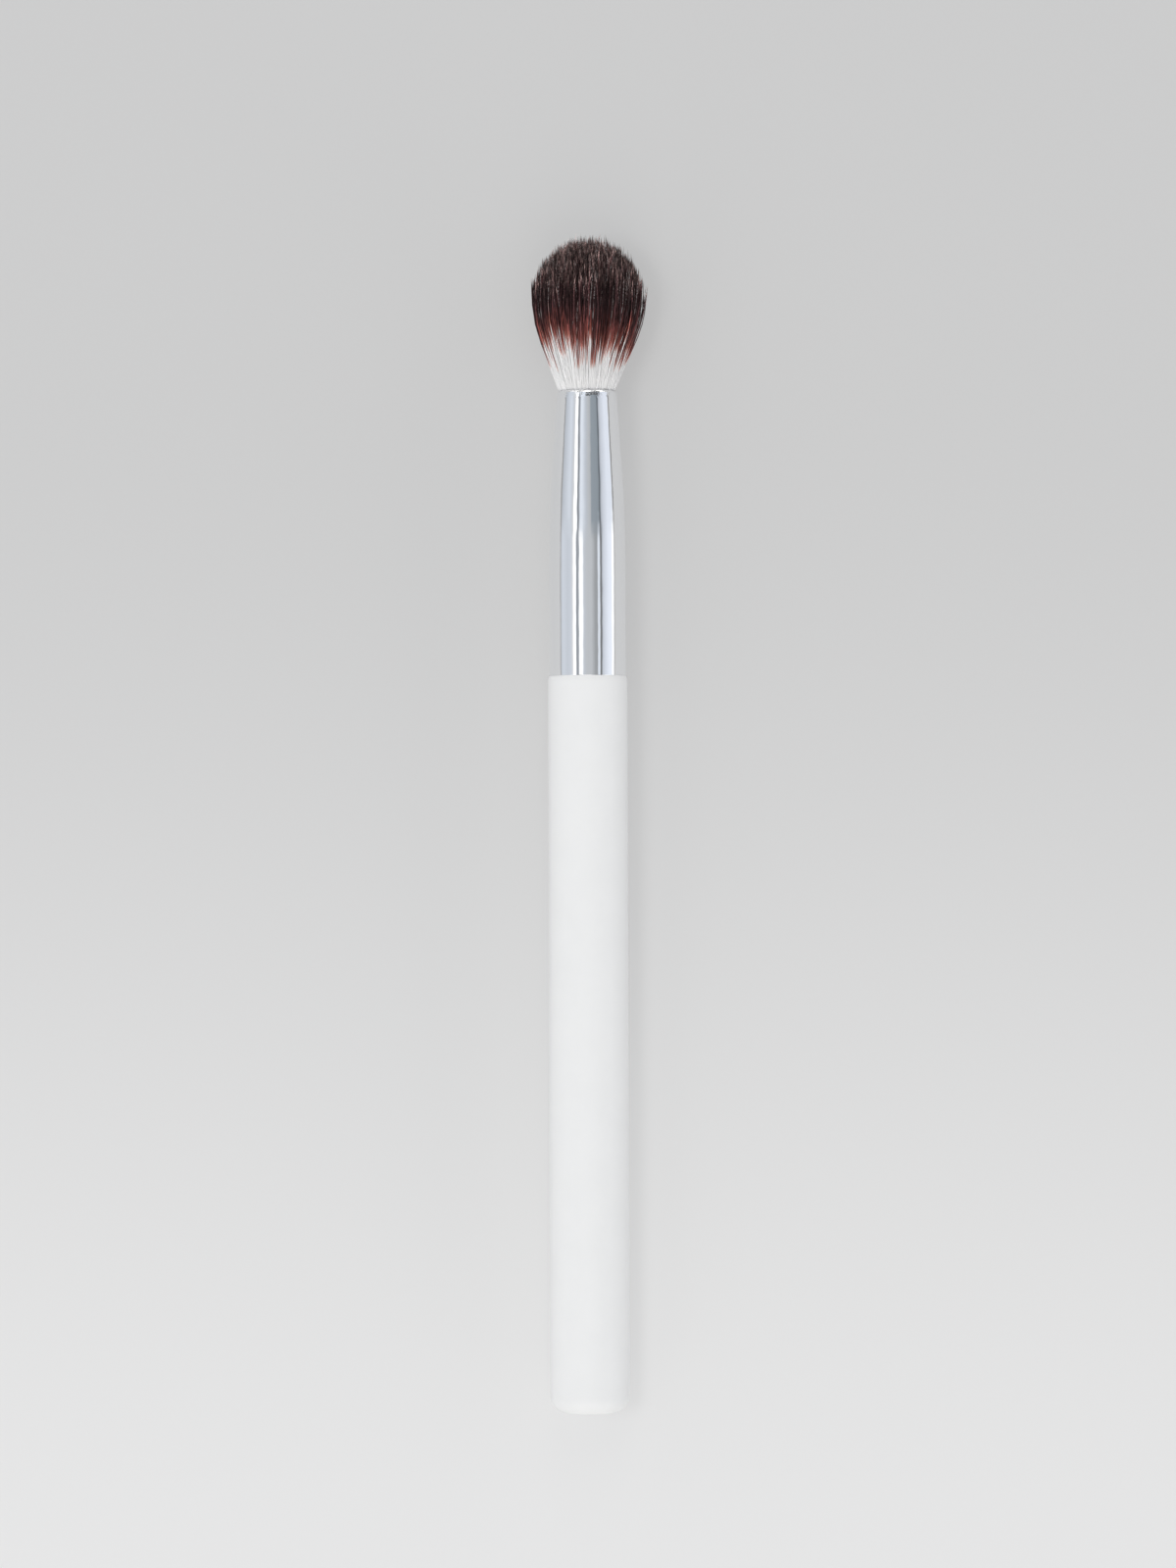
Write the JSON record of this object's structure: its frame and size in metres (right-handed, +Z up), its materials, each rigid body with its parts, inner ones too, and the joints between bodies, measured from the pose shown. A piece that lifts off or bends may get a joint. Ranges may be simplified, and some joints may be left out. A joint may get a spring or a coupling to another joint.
{
  "type": "eyeshadow brush",
  "caption": "Round fluffy eyeshadow brush: straight matt white handle, polished tapered ferrule with a rolled mouth, and a domed hair tuft with white roots and dark tips.",
  "frame": {"origin": "centre of the butt's flat end face, on the brush's axis", "axes": "+Y along the brush's axis from the butt to the tuft, +Z up as the brush lies"},
  "size_m": [0.0142, 0.1476, 0.0142],
  "materials": {
    "white_lacquer": "smooth matt white lacquer over a turned wooden rod, bare wood on the hidden tenon",
    "bright_plating": "polished bright plating, mirror-like, with fine drawing marks along the tube",
    "clear_adhesive": "hardened clear adhesive, pale yellow",
    "brush_hair": "fine straight hair, white at the roots, auburn in a band above them and dark brown to the tips",
    "binding_thread": "waxed off-white thread",
    "amber_resin": "hardened amber resin"
  },
  "bodies": {
    "root": {"handle": "white_lacquer", "ferrule": "bright_plating", "ferrule_glue": "clear_adhesive", "hair_tuft": "brush_hair", "tuft_binding": "binding_thread", "root_glue": "amber_resin"}
  },
  "joints": []
}
